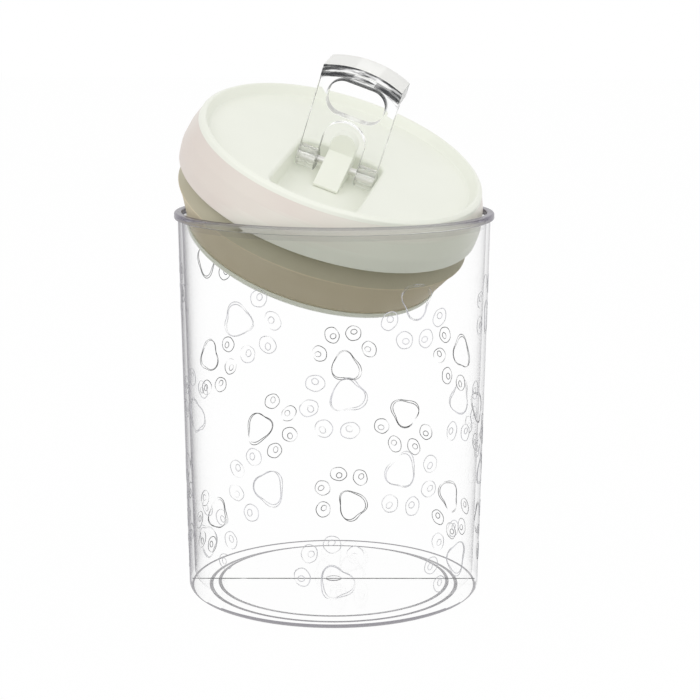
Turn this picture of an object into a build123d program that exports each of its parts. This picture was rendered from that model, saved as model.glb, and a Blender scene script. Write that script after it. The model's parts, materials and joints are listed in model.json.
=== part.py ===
import os
from math import cos, pi, radians, sin, sqrt

from build123d import *

# Jar: one clear moulding, foot at Z = 0, axis on Z
jar_height = 133.2
wall_radius_top = 53.7
wall_taper = 2.4
mouth_wall = 1.3
foot_wall = 1.9
rim_overhang = 1.3
rim_height = 2.6
rim_edge = 0.7
mouth_chamfer = 0.3
base_thickness = 2.4
foot_edge = 1.8
inner_corner = 3.0
foot_ring = 8.2
panel_bevel = 2.1
panel_depth = 1.0
gate_radius = 2.7
gate_depth = 0.3

# Pose of the lid, which lies tilted in the mouth
lid_tilt = 25.2
lid_azimuth = -49.6
lid_heading = -15.0
flange_seat_gap = 0.15
plate_seat_gap = 0.3
settle_steps = 40

# Lid cover, in the lid's own frame: Z = 0 is the crease round the top
flange_overlap = 0.8
flange_depth = 15.4
flange_edge = 0.6
side_swell = 0.2
side_foot_depth = 10.5
side_bulge = 0.6
side_bulge_depth = 4.6
top_inset = 3.0
lip_width = 1.4
lip_slope = 2.8
lip_height = 2.1
dish_depth = 1.5
cover_wall = 2.4
skirt_lip = 1.7

# Trough in the cover, in which the folded lever lies
trough_depth = 8.75
trough_half_width = 14.4
trough_back = 6.5
trough_front = 39.0
trough_corner = 5.0
trough_draft = 5.0
trough_wall = 2.0
sleeve_radius = 8.5
sleeve_depth = 16.0

# Ring under the cover that guides the clamp plate and backs the seal
ring_thickness = 2.0
ring_ledge = 0.6
guide_inset = 10.0
guide_wall = 2.1
guide_depth = 24.0

# Seal, whose radii are set back from the mouth
seal_neck_inset = 3.6
seal_neck_height = 0.9
seal_shoulder_inset = 2.7
seal_shoulder_height = 2.0
seal_ridge_inset = 0.6
seal_ridge_depth = 22.6
seal_step = 0.9
seal_foot_inset = 7.4
seal_wall = 2.8
fold_half_height = 5.0

# Clamp plate
plate_inset = 6.9
plate_depth = 35.9
plate_thickness = 2.0
plate_edge = 0.8
collar_wall = 2.0
collar_height = 14.0
plate_hollow_rim = 10.2
plate_hollow_depth = 0.6
boss_wall = 2.4
boss_height = 6.5
rib_count = 6
rib_thickness = 1.4
rib_height = 2.5
socket_floor = 0.8

# Pull stud with the eye for the pin
stud_width = 8.8
tab_top = 7.4
tab_front = 2.0
tab_back = 3.2
crease_height = 0.6
toe_reach = 14.0
toe_height = 0.8
shank_width = 7.0
shank_depth = 8.4
shank_corner = 1.0

# Hinge pin
pin_height = -5.0
pin_radius = 1.25
pin_half_length = 13.6
pin_chamfer = 0.2

# Lever, upright over the pin
cam_radius = 3.6
cam_lift = 2.4
foot_inner = 7.4
foot_top = 5.0
lever_half_width = 14.0
lever_front = 5.5
lever_thickness = 3.6
lever_shoulder = 29.8
lever_crown = 32.7
arch_top = 12.9
hole_width = 20.0
hole_bottom = 14.8
hole_top = 26.8
hole_corner = 5.3
grip_back = 6.3
grip_thickness = 2.4
spiral_steps = 6

# Clearances
sliding_gap = 0.3
running_gap = 0.05
press_gap = 0.02
ring_gap = 0.15
foot_gap = 0.15

os.makedirs("parts", exist_ok=True)

# Radii that follow from the jar's wall
wall_radius_foot = wall_radius_top - wall_taper
rim_radius = wall_radius_top + rim_overhang
mouth_radius = wall_radius_top - mouth_wall
foot_inner_radius = wall_radius_foot - foot_wall
flange_radius = mouth_radius + flange_overlap
plate_radius = mouth_radius - plate_inset
guide_radius = mouth_radius - guide_inset

# Where the tilted lid lies: the flange dips below the rim on its low side and the
# clamp plate rises above it on the other, and each crosses the rim at its own gap
flange_level = flange_depth - flange_edge
plate_level = plate_depth + plate_thickness - plate_edge
lean_sin = sin(radians(lid_tilt))
lean_cos = cos(radians(lid_tilt))
flange_reach = mouth_radius - flange_seat_gap
plate_reach = mouth_radius - plate_seat_gap
lid_shift = 0.0
for step in range(settle_steps):
    shift = lid_shift - flange_level * lean_sin
    excess = shift**2 + flange_radius**2 - flange_reach**2
    dip = (shift * lean_cos + sqrt((shift * lean_cos) ** 2 + lean_sin**2 * excess)) / lean_sin**2
    lid_above_rim = flange_level * lean_cos + dip * lean_sin
    rise = (plate_level * lean_cos - lid_above_rim) / lean_sin
    lid_shift = plate_level * lean_sin + rise * lean_cos
    lid_shift -= sqrt(plate_reach**2 - plate_radius**2 + rise**2)

# Plane of the tilted lid: its Z is the lid's axis, its X runs along the hinge
lid_axis = Vector(0, 0, 1).rotate(Axis.Y, lid_tilt).rotate(Axis.Z, lid_azimuth)
heading = Vector(1, 0, 0).rotate(Axis.Z, lid_heading)
hinge_way = heading - lid_axis * heading.dot(lid_axis)
lid_place = Vector(lid_shift, 0, jar_height + lid_above_rim).rotate(Axis.Z, lid_azimuth)
lid_plane = Plane(origin=lid_place, x_dir=hinge_way, z_dir=lid_axis)


def write(part, name):
    """Label a finished piece and write it as its own STEP file."""
    part.label = name
    export_step(part, f"parts/{name}.step")


# Jar: tapering wall, rolled rim and a base with a raised panel underneath
panel_radius = wall_radius_foot - foot_ring - panel_bevel
floor_height = panel_depth + base_thickness
with BuildPart() as jar:
    with BuildSketch(Plane.XZ):
        with BuildLine():
            Polyline(
                (0, panel_depth + gate_depth),
                (gate_radius, panel_depth + gate_depth),
                (gate_radius, panel_depth),
                (panel_radius, panel_depth),
                (panel_radius + panel_bevel, 0),
                (wall_radius_foot, 0),
                (wall_radius_top, jar_height - rim_height),
                (rim_radius, jar_height - rim_height + rim_edge / 2),
                (rim_radius, jar_height),
                (mouth_radius + mouth_chamfer, jar_height),
                (mouth_radius, jar_height - mouth_chamfer),
                (foot_inner_radius, floor_height),
                (0, floor_height),
                close=True,
            )
        make_face()
    revolve(axis=Axis.Z)
    for radius, height, edge in (
        (wall_radius_foot, 0, foot_edge),
        (rim_radius, jar_height, rim_edge),
        (foot_inner_radius, floor_height, inner_corner),
    ):
        circles = jar.edges().filter_by(GeomType.CIRCLE)
        fillet(circles.sort_by_distance((radius, 0, height))[0], edge)
write(jar.part, "jar")

# Lid cover: dished top with a raised lip, side wall and resting flange
crease_radius = flange_radius - top_inset
lip_crest_radius = crease_radius - lip_width
dish_radius = lip_crest_radius - lip_slope
side_foot_radius = flange_radius + side_swell
side_middle_radius = (crease_radius + side_foot_radius) / 2 + side_bulge / 2
skirt_inner_radius = flange_radius - skirt_lip
ledge_radius = skirt_inner_radius - ring_ledge
ring_top = -flange_depth + ring_thickness
panel_under = -dish_depth - cover_wall
trough_length = trough_front + trough_back
trough_middle = (trough_back - trough_front) / 2
trough_outer = 2 * (trough_half_width + trough_wall)
with BuildPart() as lid_cover:
    with BuildSketch(Plane.XZ):
        with BuildLine():
            Line((0, -dish_depth), (dish_radius, -dish_depth))
            Spline(
                (dish_radius, -dish_depth),
                (lip_crest_radius, lip_height),
                (crease_radius, 0),
                tangents=((1, 0), (1, -2)),
            )
            ThreePointArc(
                (crease_radius, 0),
                (side_middle_radius, -side_bulge_depth),
                (side_foot_radius, -side_foot_depth),
            )
            Polyline(
                (side_foot_radius, -side_foot_depth),
                (flange_radius, -flange_depth + flange_edge),
                (flange_radius - flange_edge, -flange_depth),
                (skirt_inner_radius, -flange_depth),
                (skirt_inner_radius, ring_top),
                (ledge_radius, ring_top),
                (crease_radius - cover_wall, panel_under),
                (0, panel_under),
                (0, -dish_depth),
            )
        make_face()
    revolve(axis=Axis.Z)
    with BuildSketch(Plane.XY.offset(-trough_depth - trough_wall)):
        with Locations((0, trough_middle)):
            RectangleRounded(trough_outer, trough_length + 2 * trough_wall, trough_corner + trough_wall)
    extrude(amount=trough_depth + trough_wall + panel_under, taper=-trough_draft)
    with BuildSketch(Plane.XY.offset(-sleeve_depth)):
        Circle(sleeve_radius)
    extrude(amount=sleeve_depth - trough_depth)
    with BuildSketch(Plane.XY.offset(-trough_depth)):
        with Locations((0, trough_middle)):
            RectangleRounded(2 * trough_half_width, trough_length, trough_corner)
    extrude(amount=trough_depth + lip_height, taper=-trough_draft, mode=Mode.SUBTRACT)
    with BuildSketch(Plane.XY.offset(-sleeve_depth)):
        Rectangle(shank_width + 2 * sliding_gap, shank_depth + 2 * sliding_gap)
    extrude(amount=sleeve_depth, mode=Mode.SUBTRACT)
write(lid_cover.part.moved(lid_plane), "lid_cover")

# Lid ring: seats on the ledge inside the skirt and guides the clamp plate
with BuildPart() as lid_ring:
    with BuildSketch(Plane.XZ):
        with BuildLine():
            Polyline(
                (skirt_inner_radius - ring_gap, ring_top),
                (skirt_inner_radius - ring_gap, -flange_depth),
                (guide_radius, -flange_depth),
                (guide_radius, -guide_depth),
                (guide_radius - guide_wall, -guide_depth),
                (guide_radius - guide_wall, ring_top),
                close=True,
            )
        make_face()
    revolve(axis=Axis.Z)
write(lid_ring.part.moved(lid_plane), "lid_ring")

# Seal: soft sleeve that folds outwards at its ridge when it is squeezed
seal_bore = guide_radius + sliding_gap
seal_neck_radius = mouth_radius - seal_neck_inset
seal_shoulder_radius = mouth_radius - seal_shoulder_inset
seal_ridge_radius = mouth_radius - seal_ridge_inset
seal_foot_radius = mouth_radius - seal_foot_inset
with BuildPart() as seal:
    with BuildSketch(Plane.XZ):
        with BuildLine():
            Polyline(
                (seal_bore, -flange_depth),
                (seal_neck_radius, -flange_depth),
                (seal_neck_radius, -flange_depth - seal_neck_height),
                (seal_shoulder_radius, -flange_depth - seal_shoulder_height),
                (seal_ridge_radius, -seal_ridge_depth),
                (seal_ridge_radius - seal_step, -seal_ridge_depth - seal_step),
                (seal_foot_radius, -plate_depth),
                (seal_bore, -plate_depth),
                (seal_bore, -seal_ridge_depth - fold_half_height),
                (seal_ridge_radius - seal_wall, -seal_ridge_depth),
                (seal_bore, -seal_ridge_depth + fold_half_height),
                close=True,
            )
        make_face()
    revolve(axis=Axis.Z)
write(seal.part.moved(lid_plane), "seal")

# Clamp plate: disc under the seal with a guided collar and the stud's socket
collar_radius = guide_radius - guide_wall - sliding_gap
boss_size = (shank_width + 2 * boss_wall, shank_depth + 2 * boss_wall)
rib_start = shank_width / 2 + boss_wall / 2
rib_length = collar_radius - collar_wall / 2 - rib_start
with BuildPart() as clamp_plate:
    with BuildSketch(Plane.XY.offset(-plate_depth - plate_thickness)):
        Circle(plate_radius)
    extrude(amount=plate_thickness)
    chamfer(clamp_plate.edges().sort_by(Axis.Z)[0], plate_edge)
    with BuildSketch(Plane.XY.offset(-plate_depth)):
        Circle(collar_radius)
        Circle(collar_radius - collar_wall, mode=Mode.SUBTRACT)
    extrude(amount=collar_height)
    with BuildSketch(Plane.XY.offset(-plate_depth)):
        with PolarLocations(rib_start + rib_length / 2, rib_count):
            Rectangle(rib_length, rib_thickness)
    extrude(amount=rib_height)
    with BuildSketch(Plane.XY.offset(-plate_depth)):
        RectangleRounded(*boss_size, shank_corner)
    extrude(amount=boss_height)
    with BuildSketch(Plane.XY.offset(-plate_depth - plate_thickness)):
        Circle(plate_radius - plate_hollow_rim)
    extrude(amount=plate_hollow_depth, mode=Mode.SUBTRACT)
    with BuildSketch(Plane.XY.offset(-plate_depth - plate_thickness + plate_hollow_depth + socket_floor)):
        Rectangle(shank_width + 2 * press_gap, shank_depth + 2 * press_gap)
    extrude(amount=plate_thickness + boss_height, mode=Mode.SUBTRACT)
write(clamp_plate.part.moved(lid_plane), "clamp_plate")

# Pull stud: round-topped tab with the eye, ramp in front and shank below
stud_bottom = -trough_depth + foot_gap
stud_radius = stud_width / 2
shank_bottom = -plate_depth - plate_thickness + plate_hollow_depth + socket_floor
tab_middle = tab_top - stud_radius
with BuildPart() as pull_stud:
    with BuildSketch(Plane.XZ.offset(-tab_back)):
        with BuildLine():
            Polyline(
                (-stud_radius, tab_middle),
                (-stud_radius, stud_bottom),
                (stud_radius, stud_bottom),
                (stud_radius, tab_middle),
            )
            ThreePointArc((stud_radius, tab_middle), (0, tab_top), (-stud_radius, tab_middle))
        make_face()
    extrude(amount=tab_back + tab_front)
    with BuildSketch(Plane.YZ):
        with BuildLine():
            Polyline(
                (-tab_front, stud_bottom),
                (-tab_front, crease_height),
                (-toe_reach, stud_bottom + toe_height),
                (-toe_reach, stud_bottom),
                close=True,
            )
        make_face()
    extrude(amount=stud_radius, both=True)
    with BuildSketch(Plane.XY.offset(stud_bottom)):
        RectangleRounded(shank_width, shank_depth, shank_corner)
    extrude(amount=shank_bottom - stud_bottom)
    with BuildSketch(Plane.YZ):
        with Locations((0, pin_height)):
            Circle(pin_radius + press_gap)
    extrude(amount=stud_width, both=True, mode=Mode.SUBTRACT)
write(pull_stud.part.moved(lid_plane), "pull_stud")

# Hinge pin through the eye and both feet of the lever
with BuildPart() as hinge_pin:
    with BuildSketch(Plane.YZ):
        with Locations((0, pin_height)):
            Circle(pin_radius)
    extrude(amount=pin_half_length, both=True)
    chamfer(hinge_pin.edges().filter_by(GeomType.CIRCLE), pin_chamfer)
write(hinge_pin.part.moved(lid_plane), "hinge_pin")

# Lever: the cam grows by the same step for each degree that the lever folds,
# so its reach below the pin is cam_radius at rest and cam_radius + cam_lift when folded
cam_growth = cam_lift / (pi / 2)
cam_points = []
for step in range(spiral_steps + 1):
    turn = pi / 2 * step / spiral_steps
    reach = cam_radius + cam_growth * turn
    cam_points.append((
        -reach * sin(turn) - cam_growth * cos(turn),
        pin_height - reach * cos(turn) + cam_growth * sin(turn),
    ))
lever_back = lever_front - lever_thickness
arch_middle = arch_top - foot_inner
with BuildPart() as lever:
    with BuildSketch(Plane.XZ.offset(lever_back)):
        with BuildLine():
            Polyline(
                (-lever_half_width, lever_shoulder),
                (-lever_half_width, pin_height),
                (lever_half_width, pin_height),
                (lever_half_width, lever_shoulder),
            )
            ThreePointArc(
                (lever_half_width, lever_shoulder), (0, lever_crown), (-lever_half_width, lever_shoulder)
            )
        make_face()
        with Locations((0, (hole_bottom + hole_top) / 2)):
            RectangleRounded(hole_width, hole_top - hole_bottom, hole_corner, mode=Mode.SUBTRACT)
    extrude(amount=lever_thickness)
    with BuildSketch(Plane.XZ.offset(-grip_back)):
        with BuildLine():
            ThreePointArc(
                (lever_half_width, lever_shoulder), (0, lever_crown), (-lever_half_width, lever_shoulder)
            )
            Line((-lever_half_width, lever_shoulder), (-lever_half_width, lever_shoulder - grip_thickness))
            ThreePointArc(
                (-lever_half_width, lever_shoulder - grip_thickness),
                (0, lever_crown - grip_thickness),
                (lever_half_width, lever_shoulder - grip_thickness),
            )
            Line((lever_half_width, lever_shoulder - grip_thickness), (lever_half_width, lever_shoulder))
        make_face()
    extrude(amount=grip_back + lever_front)
    with BuildSketch(Plane.YZ):
        with BuildLine():
            Spline(cam_points)
            Polyline(
                cam_points[-1],
                (cam_points[-1][0], pin_height + foot_top),
                (-lever_back, pin_height + foot_top),
                (cam_radius, pin_height),
            )
            ThreePointArc(
                (cam_radius, pin_height),
                (cam_radius * sin(pi / 4), pin_height - cam_radius * cos(pi / 4)),
                (0, pin_height - cam_radius),
            )
            Line((0, pin_height - cam_radius), cam_points[0])
        make_face()
    extrude(amount=lever_half_width, both=True)
    with BuildSketch(Plane.XZ.offset(-grip_back)):
        with BuildLine():
            Polyline(
                (-foot_inner, arch_middle),
                (-foot_inner, pin_height - 2 * cam_radius),
                (foot_inner, pin_height - 2 * cam_radius),
                (foot_inner, arch_middle),
            )
            ThreePointArc((foot_inner, arch_middle), (0, arch_top), (-foot_inner, arch_middle))
        make_face()
    extrude(amount=grip_back + 2 * lever_front, mode=Mode.SUBTRACT)
    with BuildSketch(Plane.YZ):
        with Locations((0, pin_height)):
            Circle(pin_radius + running_gap)
    extrude(amount=2 * lever_half_width, both=True, mode=Mode.SUBTRACT)
write(lever.part.moved(lid_plane), "lever")
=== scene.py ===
import json
from math import radians

import bmesh
import bpy
import numpy as np
from mathutils import Matrix, Vector


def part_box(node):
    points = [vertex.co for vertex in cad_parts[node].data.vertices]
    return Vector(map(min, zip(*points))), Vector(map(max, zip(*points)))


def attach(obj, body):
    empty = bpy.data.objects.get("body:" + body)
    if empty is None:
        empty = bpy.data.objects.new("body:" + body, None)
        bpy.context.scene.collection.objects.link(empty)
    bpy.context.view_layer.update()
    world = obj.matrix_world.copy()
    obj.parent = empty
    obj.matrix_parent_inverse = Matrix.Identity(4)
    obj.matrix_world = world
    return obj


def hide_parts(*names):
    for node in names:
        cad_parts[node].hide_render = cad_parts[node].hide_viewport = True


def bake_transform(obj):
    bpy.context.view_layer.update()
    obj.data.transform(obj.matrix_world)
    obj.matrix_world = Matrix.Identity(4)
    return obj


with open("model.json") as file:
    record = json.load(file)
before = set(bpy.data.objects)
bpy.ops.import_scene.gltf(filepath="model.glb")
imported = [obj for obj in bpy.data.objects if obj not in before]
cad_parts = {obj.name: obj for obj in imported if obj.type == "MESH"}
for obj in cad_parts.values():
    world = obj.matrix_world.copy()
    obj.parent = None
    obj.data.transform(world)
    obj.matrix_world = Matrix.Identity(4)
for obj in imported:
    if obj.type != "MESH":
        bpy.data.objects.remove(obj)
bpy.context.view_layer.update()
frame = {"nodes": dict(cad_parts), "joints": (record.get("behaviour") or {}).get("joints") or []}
mm = 0.001

# Places read from the frame
joints = {joint["name"]: joint for joint in frame["joints"]}


def unit(v):
    v = np.array(v, dtype=float)
    return v / np.linalg.norm(v)


lidUp = unit(joints["clamp_pull"]["axis"])  # axis of the tilted lid
hingeWay = unit(joints["lever_fold"]["axis"])  # along the lever's pin
lidBack = np.cross(lidUp, hingeWay)
pinDrop = 5.0  # the pin lies this far below the crease round the lid
lidOrigin = np.array(joints["lever_fold"]["pos_m"]) / mm + lidUp * pinDrop
lidAxes = np.array([hingeWay, lidBack, lidUp])
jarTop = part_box("jar")[1][2] / mm
print("frame read, lid origin", lidOrigin.round(2))


# Mesh tools
# Lid coordinates times the lid's three axes, plus its origin
def toLid(points):
    return points @ lidAxes + lidOrigin


# The other way round, from the frame to lid coordinates
def inLid(points):
    return (points - lidOrigin) @ lidAxes.T


# The jar's own coordinates are the frame's
def toJar(points):
    return points


# Each corner (x, y, radius) becomes an arc that touches both of its sides
def roundedPath(corners, steps=6):
    out = []
    pts = np.array([c[:2] for c in corners], dtype=float)
    for i, (x, y, radius) in enumerate(corners):
        if radius == 0 or i in (0, len(corners) - 1):
            out.append(np.array([[x, y]]))
            continue
        a = unit(pts[i - 1] - pts[i])
        b = unit(pts[i + 1] - pts[i])
        half = np.arccos(np.clip(a @ b, -1, 1)) / 2
        centre = pts[i] + unit(a + b) * radius / np.sin(half)
        start = pts[i] + a * radius / np.tan(half)
        end = pts[i] + b * radius / np.tan(half)
        w = np.linspace(0, 1, steps + 1)[:, None]
        chord = start * (1 - w) + end * w - centre
        out.append(centre + radius * chord / np.linalg.norm(chord, axis=1)[:, None])
    return np.concatenate(out)


# Quad (i, j) joins row i to row i + 1 and column j to column j + 1, columns closed
def gridFaces(rows, cols, wrapRows):
    i = np.arange(rows if wrapRows else rows - 1)[:, None]
    j = np.arange(cols)[None, :]
    below = (i + 1) % rows
    beside = (j + 1) % cols
    corners = [i * cols + j, i * cols + beside, below * cols + beside, below * cols + j]
    return np.stack(corners, -1).reshape(-1, 4)


# Shades a mesh smooth, but for edges sharper than the angle, and links it as a piece
def place(name, mesh, smoothAngle):
    mesh.polygons.foreach_set("use_smooth", np.ones(len(mesh.polygons), dtype=bool))
    mesh.set_sharp_from_angle(angle=radians(smoothAngle))
    piece = bpy.data.objects.new(name, mesh)
    bpy.context.scene.collection.objects.link(piece)
    return piece


# A piece from points in mm, with its doubles merged and its faces turned outwards
def makeMesh(name, points, faces, smoothAngle=35):
    mesh = bpy.data.meshes.new(name)
    mesh.from_pydata((points * mm).tolist(), [], faces.tolist())
    body = bmesh.new()
    body.from_mesh(mesh)
    bmesh.ops.remove_doubles(body, verts=body.verts, dist=1e-7)
    bmesh.ops.recalc_face_normals(body, faces=body.faces)
    body.to_mesh(mesh)
    body.free()
    return place(name, mesh, smoothAngle)


# Point (i, j) is profile radius i turned to angle j, at profile height i
def revolve(name, profile, count, where, wrap=False, smoothAngle=35):
    turn = np.linspace(0, 2 * np.pi, count, endpoint=False)
    r = profile[:, 0][:, None]
    z = profile[:, 1][:, None]
    points = np.stack([r * np.cos(turn), r * np.sin(turn), z + 0 * turn], -1).reshape(-1, 3)
    return makeMesh(name, where(points), gridFaces(len(profile), count, wrap), smoothAngle)


# A welded copy of a CAD node, with its edges rounded by a live bevel
def cadCopy(name, node, bevel=0.0, segments=2, smoothAngle=30):
    mesh = frame["nodes"][node].data.copy()
    mesh.name = name
    body = bmesh.new()
    body.from_mesh(mesh)
    bmesh.ops.remove_doubles(body, verts=body.verts, dist=2e-6)
    bmesh.ops.dissolve_limit(
        body, angle_limit=radians(0.5), verts=body.verts, edges=body.edges, use_dissolve_boundaries=False
    )
    body.to_mesh(mesh)
    body.free()
    piece = place(name, mesh, smoothAngle)
    if bevel:
        edge = piece.modifiers.new("softEdge", "BEVEL")
        edge.width = bevel * mm
        edge.segments = segments
        edge.limit_method = "ANGLE"
        edge.angle_limit = radians(smoothAngle)
        edge.harden_normals = True
    return piece


# Each face of the piece gets the value that shade works out from its centre, in mm, and its normal
def paintFaces(piece, name, shade):
    count = len(piece.data.polygons)
    centres = np.empty(count * 3, dtype=np.float32)
    normals = np.empty(count * 3, dtype=np.float32)
    piece.data.polygons.foreach_get("center", centres)
    piece.data.polygons.foreach_get("normal", normals)
    layer = piece.data.attributes.new(name, "FLOAT", "FACE")
    values = shade(centres.reshape(-1, 3) / mm, normals.reshape(-1, 3))
    layer.data.foreach_set("value", np.broadcast_to(values, count).astype(np.float32))


# Shader tools
class Sock:  # a socket, or a plain number, that adds Math nodes when it is used in sums
    def __init__(self, kit, value):
        self.kit = kit
        self.value = value

    def __add__(self, other):
        return self.kit.maths("ADD", self, other)

    def __radd__(self, other):
        return self.kit.maths("ADD", other, self)

    def __sub__(self, other):
        return self.kit.maths("SUBTRACT", self, other)

    def __rsub__(self, other):
        return self.kit.maths("SUBTRACT", other, self)

    def __mul__(self, other):
        return self.kit.maths("MULTIPLY", self, other)

    def __rmul__(self, other):
        return self.kit.maths("MULTIPLY", other, self)

    def __pow__(self, other):
        return self.kit.maths("POWER", self, other)

    def top(self, other):
        return self.kit.maths("MAXIMUM", self, other)

    def low(self, other):
        return self.kit.maths("MINIMUM", self, other)


class Kit:  # the nodes of one material or of the world
    def __init__(self, owner):
        owner.use_nodes = True
        self.tree = owner.node_tree
        self.tree.nodes.clear()

    def node(self, kind, settings=None, inputs=None, out=0):
        made = self.tree.nodes.new(kind)
        for key, value in (settings or {}).items():
            if key == "stops":
                ramp = made.color_ramp.elements
                for n, (spot, colour) in enumerate(value):
                    stop = ramp[n] if n < 2 else ramp.new(spot)
                    stop.position = spot
                    stop.color = colour
            else:
                setattr(made, key, value)
        for key, value in (inputs or {}).items():
            value = value.value if isinstance(value, Sock) else value
            if isinstance(value, bpy.types.NodeSocket):
                self.tree.links.new(value, made.inputs[key])
            else:
                made.inputs[key].default_value = value
        return Sock(self, made.outputs[out]) if made.outputs else None

    def maths(self, operation, first, second):
        return self.node("ShaderNodeMath", {"operation": operation}, {0: first, 1: second})

    def blend(self, share, first, second):
        return self.node("ShaderNodeMix", {"data_type": "RGBA"}, {0: share, 6: first, 7: second}, out=2)

    def noise(self, scale, detail=2.0):
        spot = self.node("ShaderNodeTexCoord", out=3)
        return self.node("ShaderNodeTexNoise", {}, {"Vector": spot, "Scale": scale, "Detail": detail})

    def painted(self, name):
        return self.node("ShaderNodeAttribute", {"attribute_name": name}, out=2)

    def lightPath(self, *outs):
        found = [self.node("ShaderNodeLightPath", out=n) for n in outs]
        share = found[0]
        for other in found[1:]:
            share = share.top(other)
        return share


cameraRay, shadowRay, diffuseRay, glossyRay, throughRay = 0, 1, 2, 3, 6  # outputs of Light Path


# Screen values of 0 to 255 as the linear colour that shows them
def srgb(r, g, b):
    c = np.array([r, g, b]) / 255
    c = np.where(c <= 0.04045, c / 12.92, ((c + 0.055) / 1.055) ** 2.4)
    return (*c.tolist(), 1.0)


# Clear plastic with painted dark reflections where a painted surface is seen edge on, and where marks works
# out dark places
def clearPlastic(name, look, marks=None):
    material = bpy.data.materials.new(name)
    kit = Kit(material)
    wave = kit.noise(look["waveScale"])
    bump = kit.node("ShaderNodeBump", {}, {"Strength": look["wave"], "Distance": 0.001, "Height": wave})
    glass = kit.node("ShaderNodeBsdfPrincipled", {}, {
        "Base Color": look["colour"], "Roughness": look["roughness"], "IOR": look["ior"],
        "Transmission Weight": 1.0, "Normal": bump,
    })
    # painted dark reflection, mixed over the glass by share
    edge = kit.node("ShaderNodeBsdfPrincipled", {}, {
        "Base Color": look["darkReflectionColour"], "Roughness": 0.25, "IOR": 1.5,
    })
    facing = kit.node("ShaderNodeLayerWeight", {}, {"Blend": 0.5}, out=1)
    share = (facing ** look["edgePower"] * kit.painted("edgeShade")).top(kit.painted("seamShade"))
    if marks:
        share = share.top(marks(kit))
    # faces painted flat let light straight through, with a little gloss at grazing view
    straight = kit.node("ShaderNodeBsdfTransparent", {}, {"Color": (1, 1, 1, 1)})
    mirror = kit.node("ShaderNodeBsdfAnisotropic", {}, {"Color": (1, 1, 1, 1), "Roughness": 0.05})
    gloss = facing ** 5.0 * look["thinGloss"]
    flat = kit.node("ShaderNodeMixShader", {}, {0: gloss, 1: straight, 2: mirror})
    clear = kit.node("ShaderNodeMixShader", {}, {0: kit.painted("flatShade"), 1: glass, 2: flat})
    # painted light: a whitish diffuse share makes these faces look lighter
    paintedWhite = kit.node("ShaderNodeBsdfPrincipled", {}, {"Base Color": look["paintedLightColour"], "Roughness": 0.3})
    whitened = kit.node("ShaderNodeMixShader", {}, {0: kit.painted("frostShade"), 1: clear, 2: paintedWhite})
    solid = kit.node("ShaderNodeMixShader", {}, {0: share, 1: whitened, 2: edge})
    # shadows and bounced light see a thin tinted film instead
    film = kit.node("ShaderNodeBsdfTransparent", {}, {"Color": look["shadowColour"]})
    unseen = kit.lightPath(shadowRay, diffuseRay)
    both = kit.node("ShaderNodeMixShader", {}, {0: unseen, 1: solid, 2: film})
    kit.node("ShaderNodeOutputMaterial", {}, {0: both})
    return material


# Grip bar and finger hole of the lever in lid coordinates, for its mesh and its material
gripSizes = {
    "halfWidth": 14.0, "shoulder": 29.8, "crown": 32.7, "thickness": 2.4, "deeper": 2.6, "plateBack": -1.9,
    "holeHalfWidth": 10.0, "holeHalfHeight": 6.0, "holeCentre": 20.8, "holeCorner": 5.3,
}
# Painted reflections on the grip: dark streaks and a dark line round the hole
streakLook = {
    "reach": 6.0, "along": 0.16, "across": 0.9, "contrast": 5.0, "bandGain": 2.0, "paler": 0.65, "ends": 0.6,
    "most": 0.93, "line": 0.55, "lineSoft": 0.25, "lineGain": 3.2, "lineRise": 0.22, "lineLeast": 0.25,
    # depth below the top edge as a share of the reach, and how dark it is there
    "bands": [
        (0.0, 0.9), (0.09, 0.75), (0.15, 0.12), (0.28, 0.62),
        (0.4, 0.2), (0.56, 0.72), (0.7, 0.3), (0.86, 0.0),
    ],
}


# Painted reflections: dark streaks follow the depth below the arched top edge, with noise stretched along
# it. The painted dark line round the hole follows the distance from a rectangle with round corners, and
# fades towards the bottom
def gripPaintedReflections(kit):
    g = gripSizes
    s = streakLook
    spot = kit.node("ShaderNodeMapping", {}, {
        "Vector": kit.node("ShaderNodeTexCoord", out=3), "Location": tuple(-lidAxes @ lidOrigin * mm),
        "Rotation": tuple(Matrix(lidAxes.tolist()).to_euler()),
    })
    x, z = [kit.node("ShaderNodeSeparateXYZ", {}, {0: spot}, out=n) * 1000.0 for n in (0, 2)]
    arch = x * x * ((g["shoulder"] - g["crown"]) / g["halfWidth"] ** 2) + g["crown"]
    depth = arch - z
    where = kit.node("ShaderNodeCombineXYZ", {}, {0: x * s["along"], 1: depth * s["across"]})
    streak = kit.node("ShaderNodeTexNoise", {}, {"Vector": where, "Scale": 1.0, "Detail": 2.0})
    stops = [(share, (value, value, value, 1)) for share, value in s["bands"]]
    band = kit.node("ShaderNodeValToRGB", {"stops": stops}, {0: depth * (1 / s["reach"])})
    ends = (x * x * (1 / g["halfWidth"] ** 2)) ** 3.0 * s["ends"]
    dark = (streak - 0.5) * s["contrast"] + band * s["bandGain"] - s["paler"] + ends
    inside = (s["reach"] - depth).top(0.0).low(1.0)
    beside = (x.top(x * -1.0) - (g["holeHalfWidth"] - g["holeCorner"])).top(0.0)
    above = z - g["holeCentre"]
    beyond = (above.top(above * -1.0) - (g["holeHalfHeight"] - g["holeCorner"])).top(0.0)
    gap = (beside ** 2.0 + beyond ** 2.0) ** 0.5 - g["holeCorner"]
    line = (s["line"] - gap).top(0.0).low(s["lineSoft"]) * s["lineGain"]
    line = line * (above * s["lineRise"] + s["lineLeast"]).top(0.0).low(1.0) * (gap + 1.0).top(0.0).low(1.0)
    return (dark.top(0.0).low(s["most"]) * inside).top(line) * kit.painted("streakShade")


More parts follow.
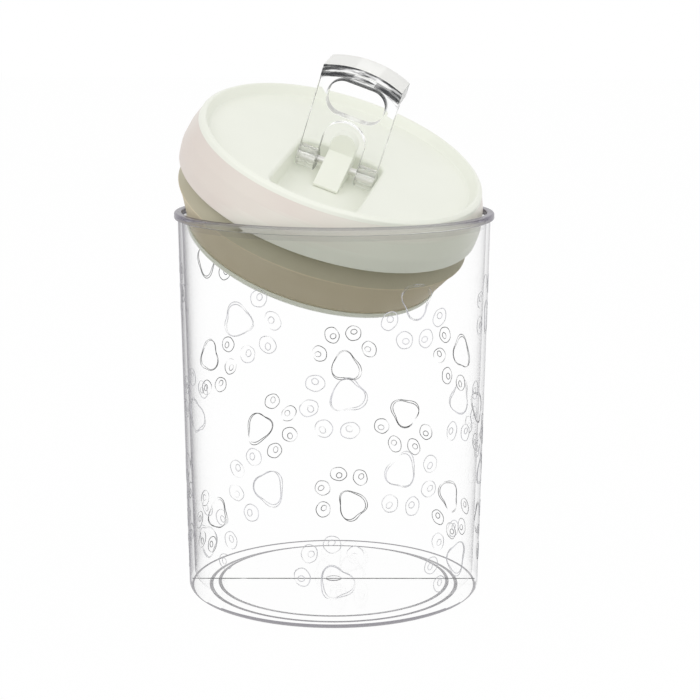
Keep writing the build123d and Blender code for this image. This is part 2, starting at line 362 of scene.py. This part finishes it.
# Opaque moulding: faint cloudiness in colour and gloss, and a fine grain
def mouldedPlastic(name, look):
    material = bpy.data.materials.new(name)
    kit = Kit(material)
    cloud = kit.node("ShaderNodeValToRGB", {"stops": [(0.35, (0, 0, 0, 1)), (0.65, (1, 1, 1, 1))]}, {
        0: kit.noise(look["cloudScale"], 3.0),
    })
    grain = kit.noise(look["grainScale"], 2.0)
    bump = kit.node("ShaderNodeBump", {}, {"Strength": look["grain"], "Distance": 0.0002, "Height": grain})
    mainColour = kit.blend(cloud, look["colour"], look["colourTwo"])
    sideColour = kit.blend(cloud, look["sideColour"], look["sideColourTwo"])
    shell = kit.node("ShaderNodeBsdfPrincipled", {}, {
        "Base Color": kit.blend(kit.painted("sideTint"), mainColour, sideColour),
        "Roughness": cloud * look["roughSpread"] + look["roughness"],
        "IOR": 1.5, "Coat Weight": look["coat"], "Coat Roughness": 0.15, "Normal": bump,
    })
    kit.node("ShaderNodeOutputMaterial", {}, {0: shell})
    return material


# Fine raised lines with a painted highlight on their outer side and painted shade on their inner side, that
# fade in and out along their length
def lineStroke(name, look):
    material = bpy.data.materials.new(name)
    kit = Kit(material)
    inner = kit.painted("innerSide")
    fade = kit.noise(look["fadeScale"], 1.0) - 0.5
    shown = fade * look["fadeSpread"] + inner * look["innerMore"] + look["shown"]
    stroke = kit.node("ShaderNodeBsdfPrincipled", {}, {
        "Base Color": kit.blend(inner, look["outerColour"], look["innerColour"]),
        "Roughness": 0.35, "Alpha": shown.top(0.0).low(1.0),
    })
    kit.node("ShaderNodeOutputMaterial", {}, {0: stroke})
    return material


jarLook = {
    "colour": (0.99, 0.99, 0.993, 1), "roughness": 0.0, "ior": 1.46, "wave": 0.02, "waveScale": 18.0,
    "thinGloss": 0.35, "darkReflectionColour": srgb(82, 74, 94), "edgePower": 10.0,
    "shadowColour": (0.75, 0.755, 0.735, 1), "paintedLightColour": srgb(235, 235, 238),
}
leverLook = {
    "colour": (0.997, 1.0, 0.997, 1), "roughness": 0.0, "ior": 1.5, "wave": 0.0, "waveScale": 60.0,
    "thinGloss": 0.6, "darkReflectionColour": srgb(40, 42, 46), "edgePower": 6.0,
    "shadowColour": (0.98, 0.985, 0.98, 1), "paintedLightColour": srgb(246, 246, 242),
}
# sideColour: the side wall's pink tint, darkened as painted shade
whiteLook = {
    "colour": srgb(239, 241, 230), "colourTwo": srgb(236, 238, 227),
    "sideColour": srgb(226, 219, 210), "sideColourTwo": srgb(222, 211, 203),
    "cloudScale": 22.0, "grainScale": 900.0, "grain": 0.08,
    "roughness": 0.32, "roughSpread": 0.1, "coat": 0.1,
}
# sideColour: the seal's darker band colour, a painted shade
sealLook = {
    "colour": srgb(213, 202, 178), "colourTwo": srgb(207, 195, 169),
    "sideColour": srgb(190, 185, 163), "sideColourTwo": srgb(182, 176, 154),
    "cloudScale": 30.0, "grainScale": 1500.0, "grain": 0.25,
    "roughness": 0.5, "roughSpread": 0.15, "coat": 0.0,
}
# painted highlight on the outer side of the lines, painted shade on their inner side
strokeLook = {
    "outerColour": srgb(222, 222, 227), "innerColour": srgb(142, 143, 148),
    "fadeScale": 170.0, "fadeSpread": 3.2, "innerMore": 0.05, "shown": 0.55,
}
jarClear = clearPlastic("jarClear", jarLook)
leverClear = clearPlastic("leverClear", leverLook, gripPaintedReflections)
lidWhite = mouldedPlastic("lidWhite", whiteLook)
sealGreige = mouldedPlastic("sealGreige", sealLook)
jarStroke = lineStroke("jarStroke", strokeLook)

pinLook = {"colour": (0.86, 0.85, 0.83, 1), "grainScale": 400.0, "roughness": 0.4, "roughSpread": 0.1}
pinSteel = bpy.data.materials.new("pinSteel")
kit = Kit(pinSteel)
brushed = kit.noise(pinLook["grainScale"], 4.0) * pinLook["roughSpread"] + pinLook["roughness"]
kit.node("ShaderNodeOutputMaterial", {}, {0: kit.node("ShaderNodeBsdfPrincipled", {}, {
    "Base Color": pinLook["colour"], "Metallic": 1.0, "Roughness": brushed,
})})
print("materials made")


# Gives a piece its one material, the body that it moves with and the CAD nodes that it stands for
def finishPiece(piece, material, body, slot, *nodes):
    piece.data.materials.clear()
    piece.data.materials.append(material)
    if body:
        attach(piece, body)
    if nodes:
        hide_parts(*nodes)


# Jar
jarSizes = {
    "wallTop": 53.7, "wallFoot": 51.3, "rim": 55.0, "rimHeight": 2.6, "mouth": 52.4, "footInner": 49.4,
    "floor": 3.4, "panel": 41.0, "panelEdge": 43.1, "panelDepth": 1.0, "gate": 2.7, "gateDepth": 0.3,
    "count": 256,
}
j = jarSizes
jarProfile = roundedPath([
    (0, j["panelDepth"] + j["gateDepth"], 0),
    (j["gate"], j["panelDepth"] + j["gateDepth"], 0.15),
    (j["gate"], j["panelDepth"], 0.1),
    (j["panel"] - 1.1, j["panelDepth"], 0),
    (j["panel"], j["panelDepth"], 0.6),
    (j["panelEdge"], 0.0, 0.5),
    (j["panelEdge"] + 1.2, 0.0, 0),
    (j["wallFoot"], 0.0, 1.8),
    (j["wallFoot"] + 0.1, 6.6, 0),
    (j["wallTop"] - 0.02, jarTop - j["rimHeight"] - 1.7, 0),
    (j["wallTop"], jarTop - j["rimHeight"], 0.3),
    (j["rim"], jarTop - j["rimHeight"] + 0.35, 0.6),
    (j["rim"], jarTop, 0.7),
    (j["mouth"] + 0.1, jarTop, 0.4),
    (j["mouth"], jarTop - 1.5, 0.0),
    (j["footInner"] + 0.05, j["floor"] + 3.2, 0.0),
    (j["footInner"], j["floor"], 3.0),
    (0, j["floor"], 0),
], steps=8)
jarGlass = revolve("jarGlass", jarProfile, j["count"], toJar)
# Shares of painted dark reflection and painted shade on the jar
jarShade = {
    "wallLeft": 2.8, "wallRight": 0.8, "rim": 8.0, "rimTop": 0.26, "rimSide": 0.05, "rimEnds": 1.3,
    "underRim": 0.12, "ringShade": 0.78, "gateShade": 0.8, "footShade": 0.75, "footLine": 0.35, "footRise": 1.5,
}


# Painted dark reflection at grazing view, the rim most; on the wall it is stronger on its left than on its
# right, as painted shade
def edgeShade(centres, normals):
    upright = np.abs(normals[:, 2]) < 0.3
    wall = np.where(centres[:, 0] < 0, jarShade["wallLeft"], jarShade["wallRight"]) * upright
    return np.where(centres[:, 2] > jarTop - j["rimHeight"], jarShade["rim"], wall)


# Painted dark lines where clear plastic shows reflections: rings at the panel's step, the gate, the foot and
# under the rim, and a painted reflection on the rim that is stronger towards its left and right ends. The
# foot's ring is wider in front
def seamShade(centres, normals):
    r = np.hypot(centres[:, 0], centres[:, 1])
    z = centres[:, 2]
    outerRing = (r > j["panelEdge"] - 0.2) & (r < j["panelEdge"] + 1.1)
    innerRing = (r > j["panel"] - 1.0) & (r < j["panel"] + 0.2)
    gate = np.abs(r - j["gate"]) < 0.3
    footTop = jarShade["footLine"] + jarShade["footRise"] * np.clip(-centres[:, 1] / 40, 0, 1)
    foot = (r > j["wallFoot"] - 1.4) & (z < footTop)
    rim = z > jarTop - j["rimHeight"]
    below = (r > j["mouth"] + 0.8) & (z > jarTop - j["rimHeight"] - 1.7) & ~rim
    shades = (z < 1.5) * (jarShade["ringShade"] * (outerRing | innerRing) + jarShade["gateShade"] * gate)
    shades += jarShade["footShade"] * foot + rim * jarShade["rimSide"] + below * jarShade["underRim"]
    shades += rim * jarShade["rimEnds"] * (centres[:, 0] / j["rim"]) ** 8
    return shades + jarShade["rimTop"] * (rim & (z > jarTop - 0.7) & (r > j["rim"] - 0.9))


# The base and the thin wall bend no light, since their faces lie nearly parallel
def flatShade(centres, normals):
    return centres[:, 2] < jarTop - j["rimHeight"]


paintFaces(jarGlass, "edgeShade", edgeShade)
paintFaces(jarGlass, "seamShade", seamShade)
paintFaces(jarGlass, "flatShade", flatShade)
finishPiece(jarGlass, jarClear, "jar", "jar_clear", "jar")
print("jar made")

# Paw prints: thin raised outlines on the outside of the wall
pawSizes = {
    "padWide": 5.5, "padHigh": 5.6, "toeWide": 2.75, "toeHigh": 3.05, "toeInner": 1.15,
    "toes": [(-9.6, 6.2), (-4.1, 12.7), (4.1, 12.7), (9.6, 6.2)],
    "bead": 0.15, "proud": 0.12, "wobble": 0.05,
}
# azimuth and height on the wall, and turn of the toes to the left of upright, in degrees and mm
pawPlaces = [
    (85, 68, -6), (123, 46, 88), (59, 52, 180), (82, 14, -42), (150, 77, 133), (34, 24, 154),
    (-85, 79, 126), (-65, 53, -143), (-114, 47, 86), (-126, 102, -104), (-89, 16, 24), (-60, 109, 179),
    (-37, 74, -144), (-36, 18, 70), (28, 79, -122), (147, 17, -103), (-152, 66, 30), (-146, 24, -60),
    (-10, 98, 40), (-12, 44, -20), (4, 22, 110), (178, 42, -150), (-172, 104, 75), (112, 100, 15),
    (62, 98, -70), (-176, 12, 10), (12, 62, 165), (150, 112, 60),
]


# Radius 1 with a wobble of two and five waves, and three lobes for the pad
def ringOutline(wide, high, count, lobes, phase):
    t = np.linspace(0, 2 * np.pi, count, endpoint=False)
    r = 1 + lobes * np.cos(3 * (t - np.pi / 2))
    r += pawSizes["wobble"] * (np.sin(2 * t + phase) + 0.4 * np.sin(5 * t + 2 * phase))
    return np.stack([wide * r * np.cos(t), high * r * np.sin(t)], -1)


# Each point of the outline turned to the left about the origin
def turned(outline, degrees):
    cosine = np.cos(radians(degrees))
    sine = np.sin(radians(degrees))
    return outline @ np.array([[cosine, sine], [-sine, cosine]])


# A tube of small radius along the outline, laid on the cone of the wall
def beadOnWall(outline, azimuth, height, turn, sides=6):
    flat = turned(outline, turn)
    ahead = np.roll(flat, -1, 0) - np.roll(flat, 1, 0)
    out = np.stack([ahead[:, 1], -ahead[:, 0]], -1)
    out /= np.linalg.norm(out, axis=1)[:, None]
    a = np.linspace(0, 2 * np.pi, sides, endpoint=False)
    around = flat[:, None, :] + out[:, None, :] * (pawSizes["bead"] * np.cos(a))[None, :, None]
    lift = pawSizes["proud"] * np.sin(a)[None, :] + 0 * around[:, :, 0]
    z = height + around[:, :, 1]
    wall = j["wallFoot"] + (j["wallTop"] - j["wallFoot"]) * z / (jarTop - j["rimHeight"])
    angle = radians(azimuth) + around[:, :, 0] / wall
    r = wall + lift
    return np.stack([r * np.cos(angle), r * np.sin(angle), z], -1)


# Pad outline drawn twice, and four toes, each a ring with a smaller ring off centre
def pawPrint(number, azimuth, height, turn):
    pad = ringOutline(pawSizes["padWide"], pawSizes["padHigh"], 64, 0.13, number)
    loops = [pad, turned(pad * 0.92, 7.0) + [0.25, 0.2]]
    for n, (x, y) in enumerate(pawSizes["toes"]):
        phase = number + 2 * n
        outer = ringOutline(pawSizes["toeWide"], pawSizes["toeHigh"], 28, 0.0, phase)
        inner = ringOutline(pawSizes["toeInner"], 0.85 * pawSizes["toeInner"], 20, 0.0, phase)
        offCentre = 0.6 * np.array([np.cos(phase), np.sin(phase)])
        loops += [turned(outer, 40 * np.sin(phase)) + [x, y], inner + [x, y] + offCentre]
    return [beadOnWall(loop, azimuth, height, turn) for loop in loops]


pawPoints = []
pawFaces = []
start = 0
for number, where in enumerate(pawPlaces):
    for bead in pawPrint(number, *where):
        count, sides = bead.shape[:2]
        pawPoints.append(bead.reshape(-1, 3))
        pawFaces.append(gridFaces(count, sides, True) + start)
        start += count * sides
pawPrints = makeMesh("pawPrints", np.concatenate(pawPoints), np.concatenate(pawFaces), 80)


# Faces whose normal points towards the jar's axis count as the inner side of a line
def innerSide(centres, normals):
    return (normals[:, :2] * centres[:, :2]).sum(1) < 0


paintFaces(pawPrints, "innerSide", innerSide)
finishPiece(pawPrints, jarStroke, "jar", "jar_clear")
print("paw prints made:", len(pawPlaces))

# A dark line across the base, inside the plastic: a painted reflection of the horizon seen through the base.
# Its darkness keeps it from fading in and out
baseLineSizes = {"reach": 50.6, "height": 1.05, "radius": 0.17, "sides": 8, "darkness": 8.0}
b = baseLineSizes
around = np.linspace(0, 2 * np.pi, b["sides"], endpoint=False)
along = np.array([-b["reach"], -b["reach"], b["reach"], b["reach"]])
thick = np.array([0, b["radius"], b["radius"], 0])
linePoints = np.stack([
    along[:, None] + 0 * around,
    thick[:, None] * np.cos(around),
    b["height"] + thick[:, None] * np.sin(around),
], -1).reshape(-1, 3)
baseLine = makeMesh("baseLine", linePoints, gridFaces(4, b["sides"], False))
paintFaces(baseLine, "innerSide", lambda centres, normals: b["darkness"])
finishPiece(baseLine, jarStroke, "jar", "jar_clear")

# Lid cover
coverSizes = {
    "flange": 53.2, "sideFoot": 53.4, "crease": 50.2, "crest": 48.8, "crestHeight": 2.1, "dish": 46.0,
    "dishDepth": 1.5, "flangeDepth": 15.4, "skirtInner": 51.5, "ledge": 50.9, "ringTop": 13.4,
    "panelUnder": 3.9, "troughDepth": 8.75, "halfWidth": 14.4, "back": 6.5, "front": 39.0, "corner": 5.0,
    "draft": 5.0, "troughWall": 2.0, "sleeve": 8.5, "sleeveDepth": 16.0, "slotWide": 7.6, "slotDeep": 9.0,
    "sideSteps": 56, "cornerSteps": 40,
}
c = coverSizes
ringCount = 4 * (c["sideSteps"] + c["cornerSteps"])


# A rectangle with quarter circles at its corners, with the same number of points on each side
def roundedBox(halfX, low, high, radius):
    along = np.linspace(-0.5, 0.5, c["sideSteps"], endpoint=False)[:, None]
    quarter = np.linspace(0, np.pi / 2, c["cornerSteps"], endpoint=False)
    centres = [(halfX - radius, high - radius), (radius - halfX, high - radius),
               (radius - halfX, low + radius), (halfX - radius, low + radius)]
    parts = []
    for n in range(4):
        before = np.array(centres[n - 1])
        here = np.array(centres[n])
        outward = np.array([np.cos(n * np.pi / 2), np.sin(n * np.pi / 2)])
        parts.append((before + here) / 2 + (here - before) * along + outward * radius)
        a = quarter + n * np.pi / 2
        parts.append(here + radius * np.stack([np.cos(a), np.sin(a)], -1))
    return np.concatenate(parts)


# Points on a circle in the same directions from the lid's axis as the points of another ring
def circleRing(radius, guide):
    a = np.arctan2(guide[:, 1], guide[:, 0])
    return radius * np.stack([np.cos(a), np.sin(a)], -1)


# The outline of the trough's floor, moved outwards by an offset
def troughRing(offset):
    wide = c["halfWidth"] + offset
    return roundedBox(wide, -c["front"] - offset, c["back"] + offset, c["corner"] + offset)


slope = np.tan(radians(c["draft"]))
wallRise = c["troughDepth"] - c["dishDepth"]
troughProfile = roundedPath([
    (-1.4, -c["troughDepth"], 0), (0.0, -c["troughDepth"], 1.2),
    (wallRise * slope, -c["dishDepth"], 1.5), (wallRise * slope + 3.5, -c["dishDepth"], 0),
], steps=8)
rings = []
slotRing = roundedBox(c["slotWide"] / 2, -c["slotDeep"] / 2, c["slotDeep"] / 2, 0.3)
rings.append((slotRing, -c["sleeveDepth"]))
rings.append((slotRing, -c["troughDepth"] - 0.2))
rings.append((slotRing * 1.03, -c["troughDepth"]))
rings += [(slotRing * (1 - w) + troughRing(-1.4) * w, -c["troughDepth"]) for w in (0.3, 0.6)]
rings += [(troughRing(offset), height) for offset, height in troughProfile]
lastRing = rings[-1][0]
dishEdge = circleRing(c["dish"] - 1.2, lastRing)
rings += [(lastRing * (1 - w) + dishEdge * w, -c["dishDepth"]) for w in (0.25, 0.5, 0.75)]
lipProfile = roundedPath([
    (c["dish"] - 1.2, -c["dishDepth"], 0), (c["dish"] + 0.1, -c["dishDepth"], 0.9),
    (c["crest"] - 0.6, c["crestHeight"] + 0.35, 0.7), (c["crease"] - 0.3, c["crestHeight"] - 0.9, 0.9),
    (c["crease"], 0.0, 0.35), (c["crease"] + 1.9, -4.6, 6.0), (c["sideFoot"], -10.5, 8.0),
    (c["flange"], -c["flangeDepth"], 0.6), (c["skirtInner"], -c["flangeDepth"], 0.3),
    (c["skirtInner"], -c["ringTop"], 0), (c["ledge"], -c["ringTop"], 0),
    (c["crease"] - 2.4, -c["panelUnder"], 0), (c["crease"] - 4.0, -c["panelUnder"], 0),
], steps=8)
rings += [(circleRing(radius, lastRing), height) for radius, height in lipProfile]
underTop = c["troughDepth"] + c["troughWall"]
for offset, height in ((wallRise * slope + 2.0, -c["panelUnder"]), (c["troughWall"], -underTop)):
    rings.append((troughRing(offset), height))
rings.append((circleRing(c["sleeve"], lastRing), -underTop))
rings.append((circleRing(c["sleeve"], slotRing), -c["sleeveDepth"]))
coverPoints = np.concatenate([
    np.column_stack([ring, np.full(len(ring), height)]) for ring, height in rings
])
lidShell = makeMesh("lidShell", toLid(coverPoints), gridFaces(len(rings), ringCount, True), 40)


# The side wall is a little pinker than the dished top where it stands out of the jar, and darker there as
# painted shade
def sideTint(centres, normals):
    local = inLid(centres)
    outside = (np.hypot(local[:, 0], local[:, 1]) > c["crease"] - 0.05) & (local[:, 2] < 0.05)
    return outside * np.clip((centres[:, 2] - jarTop + 8.0) / 14.0, 0.0, 1.0)


paintFaces(lidShell, "sideTint", sideTint)
finishPiece(lidShell, lidWhite, "lid", "lid_white", "lid_cover")
print("lid cover made")

guideRing = cadCopy("guideRing", "lid_ring", 0.2)
finishPiece(guideRing, lidWhite, "lid", "lid_white", "lid_ring")

# Seal
sealSizes = {
    "bore": 42.7, "neck": 48.8, "shoulder": 49.7, "ridge": 51.8, "foot": 45.0,
    "top": 15.4, "ridgeDepth": 22.6, "bottom": 35.9, "wall": 2.8, "fold": 5.0, "count": 256,
}
s = sealSizes
sealProfile = roundedPath([
    (s["bore"], -s["top"] - 1, 0), (s["bore"], -s["top"], 0.3), (s["neck"], -s["top"], 0.2),
    (s["neck"], -s["top"] - 0.9, 0.2), (s["shoulder"], -s["top"] - 2.0, 0.8),
    (s["ridge"], -s["ridgeDepth"], 0.6), (s["ridge"] - 0.9, -s["ridgeDepth"] - 0.9, 0.3),
    (s["foot"], -s["bottom"], 0.3), (s["bore"], -s["bottom"], 0.3),
    (s["bore"], -s["ridgeDepth"] - s["fold"], 0.5), (s["ridge"] - s["wall"], -s["ridgeDepth"], 0.5),
    (s["bore"], -s["ridgeDepth"] + s["fold"], 0.5), (s["bore"], -s["top"] - 1, 0),
])[:-1]
sealRing = revolve("sealRing", sealProfile, s["count"], toLid, wrap=True)


# Painted shade: the upper band, under the cover's overhang, is a darker olive than the lower one, and the
# bottom lip is painted part way to the same greyer colour
def sealBandShade(centres, normals):
    depth = (lidOrigin - centres) @ lidUp
    return 1.0 * (depth < s["ridgeDepth"] - 0.4) + 0.6 * (depth > s["bottom"] - 0.9)


paintFaces(sealRing, "sideTint", sealBandShade)
finishPiece(sealRing, sealGreige, None, "seal_greige", "seal")
upperEnd = toLid(np.array([[0, 0, -s["top"]]]))[0] * mm
lowerEnd = toLid(np.array([[0, 0, -s["bottom"]]]))[0] * mm
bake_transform(sealRing)
print("seal made")

# Clamp plate, stud, pin and lever
clampDisc = cadCopy("clampDisc", "clamp_plate", 0.3)
finishPiece(clampDisc, lidWhite, "clamp", "lid_white", "clamp_plate")
pullPost = cadCopy("pullPost", "pull_stud", 0.45, 3)
finishPiece(pullPost, lidWhite, "clamp", "lid_white", "pull_stud")
pinRod = cadCopy("pinRod", "hinge_pin")
finishPiece(pinRod, pinSteel, "clamp", "pin_steel", "hinge_pin")
leverArm = cadCopy("leverArm", "lever", 0.45, 3)


# Vertices on the underside of the grip, an arc parallel to its top, move down to make the bar thicker
def deepenGrip(piece):
    g = gripSizes
    spots = np.empty(len(piece.data.vertices) * 3, dtype=np.float32)
    piece.data.vertices.foreach_get("co", spots)
    local = inLid(spots.reshape(-1, 3) / mm)
    arch = g["crown"] - (g["crown"] - g["shoulder"]) * (local[:, 0] / g["halfWidth"]) ** 2 - g["thickness"]
    under = (local[:, 1] > g["plateBack"] - 0.05) & (np.abs(local[:, 2] - arch) < 0.4)
    local[:, 2] -= g["deeper"] * under
    piece.data.vertices.foreach_set("co", (toLid(local) * mm).astype(np.float32).ravel())
    print("grip deepened at", int(under.sum()), "vertices")


deepenGrip(leverArm)
# Shares of painted dark reflection and painted light on the lever, and where they go
leverShade = {
    "edge": 0.15, "footEnd": 0.55, "holeDark": 0.75, "gripPaintedLight": 0.85, "footPaintedLight": 0.25, "holePaintedLight": 0.5,
    # heights and reach of these places from the lid's origin
    "gripFrom": 29.0, "holeTop": 27.5, "holeMiddle": 21.5, "holeFrom": 14.0, "holeReach": 11.0,
    "footTop": -1.2, "footEndTop": -3.0, "footEndReach": 9.0,
}


# Dark reflections on the upper wall of the hole and on the inner ends of the feet
def leverDarkReflections(centres, normals):
    x, z = inLid(centres)[:, [0, 2]].T
    facing = normals @ lidAxes.T
    hole = (z > leverShade["holeMiddle"]) & (z < leverShade["holeTop"])
    hole &= (np.abs(facing[:, 1]) < 0.3) & (facing[:, 2] < -0.1)
    footEnd = (z < leverShade["footEndTop"]) & (np.abs(x) < leverShade["footEndReach"])
    footEnd &= np.abs(facing[:, 0]) > 0.9
    return leverShade["holeDark"] * hole + leverShade["footEnd"] * footEnd


# Painted light: the top of the grip, the lower wall of the hole and the feet get a share of whitish diffuse
# that makes them look lighter
def leverPaintedLight(centres, normals):
    x, z = inLid(centres)[:, [0, 2]].T
    up = normals @ lidUp
    grip = (up > 0.7) & (z > leverShade["gripFrom"])
    hole = (z > leverShade["holeFrom"]) & (z < leverShade["holeMiddle"])
    hole &= (up > 0.1) & (np.abs(x) < leverShade["holeReach"])
    foot = z < leverShade["footTop"]
    return leverShade["gripPaintedLight"] * grip + leverShade["holePaintedLight"] * hole + leverShade["footPaintedLight"] * foot


# Painted reflection streaks show on the front and the back of the grip
def leverStreaks(centres, normals):
    return np.abs(normals @ lidBack) > 0.9


# Painted dark reflection along the lever's edges at grazing view, and painted dark reflections in the hole
# and at the feet
paintFaces(leverArm, "edgeShade", lambda centres, normals: leverShade["edge"])
paintFaces(leverArm, "seamShade", leverDarkReflections)
paintFaces(leverArm, "frostShade", leverPaintedLight)
paintFaces(leverArm, "streakShade", leverStreaks)
finishPiece(leverArm, leverClear, "lever", "lever_clear", "lever")
print("clamp parts made")

# Studio
studio = {
    "floor": srgb(250, 250, 250), "floorGlow": 0.985, "floorReach": 6.0, "floorHeight": -0.0002,
    "worldLight": 0.72, "keyPower": 2.9, "fillPower": 1.4, "frontPower": 1.8,
}
white = (1, 1, 1, 1)
world = bpy.data.worlds.new("studioWorld")
bpy.context.scene.world = world
kit = Kit(world)
plain = kit.node("ShaderNodeBackground", {}, {"Color": white, "Strength": studio["worldLight"]})
shown = kit.node("ShaderNodeBackground", {}, {"Color": white, "Strength": 1.0})
seen = kit.lightPath(cameraRay, glossyRay, throughRay)
backdrop = kit.node("ShaderNodeMixShader", {}, {0: seen, 1: plain, 2: shown})
kit.node("ShaderNodeOutputWorld", {}, {0: backdrop})

floorPaint = bpy.data.materials.new("floorPaint")
kit = Kit(floorPaint)
diffuse = kit.node("ShaderNodeBsdfDiffuse", {}, {"Color": studio["floor"]})
glow = kit.node("ShaderNodeEmission", {}, {"Color": white, "Strength": 1.0})
seen = kit.lightPath(cameraRay, glossyRay, throughRay) * studio["floorGlow"]
paper = kit.node("ShaderNodeMixShader", {}, {0: seen, 1: diffuse, 2: glow})
kit.node("ShaderNodeOutputMaterial", {}, {0: paper})
floorMesh = bpy.data.meshes.new("floor")
reach = studio["floorReach"]
floorCorners = [(x, y, studio["floorHeight"]) for x, y in (
    (-reach, -reach), (reach, -reach), (reach, reach), (-reach, reach),
)]
floorMesh.from_pydata(floorCorners, [], [(0, 1, 2, 3)])
floor = bpy.data.objects.new("floor", floorMesh)
bpy.context.scene.collection.objects.link(floor)
floorMesh.materials.append(floorPaint)


# A square lamp at a spot, turned towards its aim
def softBox(name, spot, aim, size, power):
    lamp = bpy.data.lights.new(name, "AREA")
    lamp.energy = power
    lamp.size = size
    thing = bpy.data.objects.new(name, lamp)
    thing.location = spot
    thing.rotation_euler = (Vector(aim) - Vector(spot)).to_track_quat("-Z", "Y").to_euler()
    bpy.context.scene.collection.objects.link(thing)


softBox("keyLight", (-0.7, -0.7, 1.1), (0, 0, 0.1), 0.7, studio["keyPower"])
softBox("fillLight", (0.9, -0.5, 0.7), (0, 0, 0.1), 0.8, studio["fillPower"])
softBox("frontLight", (0.1, -0.9, 0.85), (0, 0, 0.15), 0.9, studio["frontPower"])

# Camera, as the photograph was taken
view = {
    "distance": 0.605, "height": 0.1964, "down": 10.50, "right": 0.528, "roll": 0.192,
    "focal": 1759.6, "pictureWidth": 700, "sensor": 36.0,
}
down = radians(view["down"])
right = radians(view["right"])
roll = radians(view["roll"])
ahead = np.array([np.sin(right) * np.cos(down), np.cos(right) * np.cos(down), -np.sin(down)])
side = unit(np.cross(ahead, [0, 0, 1]))
top = np.cross(side, ahead)
sideRolled = np.cos(roll) * side + np.sin(roll) * top
topRolled = np.cos(roll) * top - np.sin(roll) * side
lens = bpy.data.cameras.new("camera")
lens.sensor_width = view["sensor"]
lens.sensor_height = view["sensor"]
lens.sensor_fit = "HORIZONTAL"
lens.lens = view["sensor"] * view["focal"] / view["pictureWidth"]
camera = bpy.data.objects.new("camera", lens)
bpy.context.scene.collection.objects.link(camera)
facing = Matrix((sideRolled, topRolled, -ahead)).transposed().to_4x4()
camera.matrix_world = Matrix.Translation((0.0, -view["distance"], view["height"])) @ facing
bpy.context.scene.camera = camera
bpy.context.scene.view_settings.view_transform = "Standard"

print("scene complete")
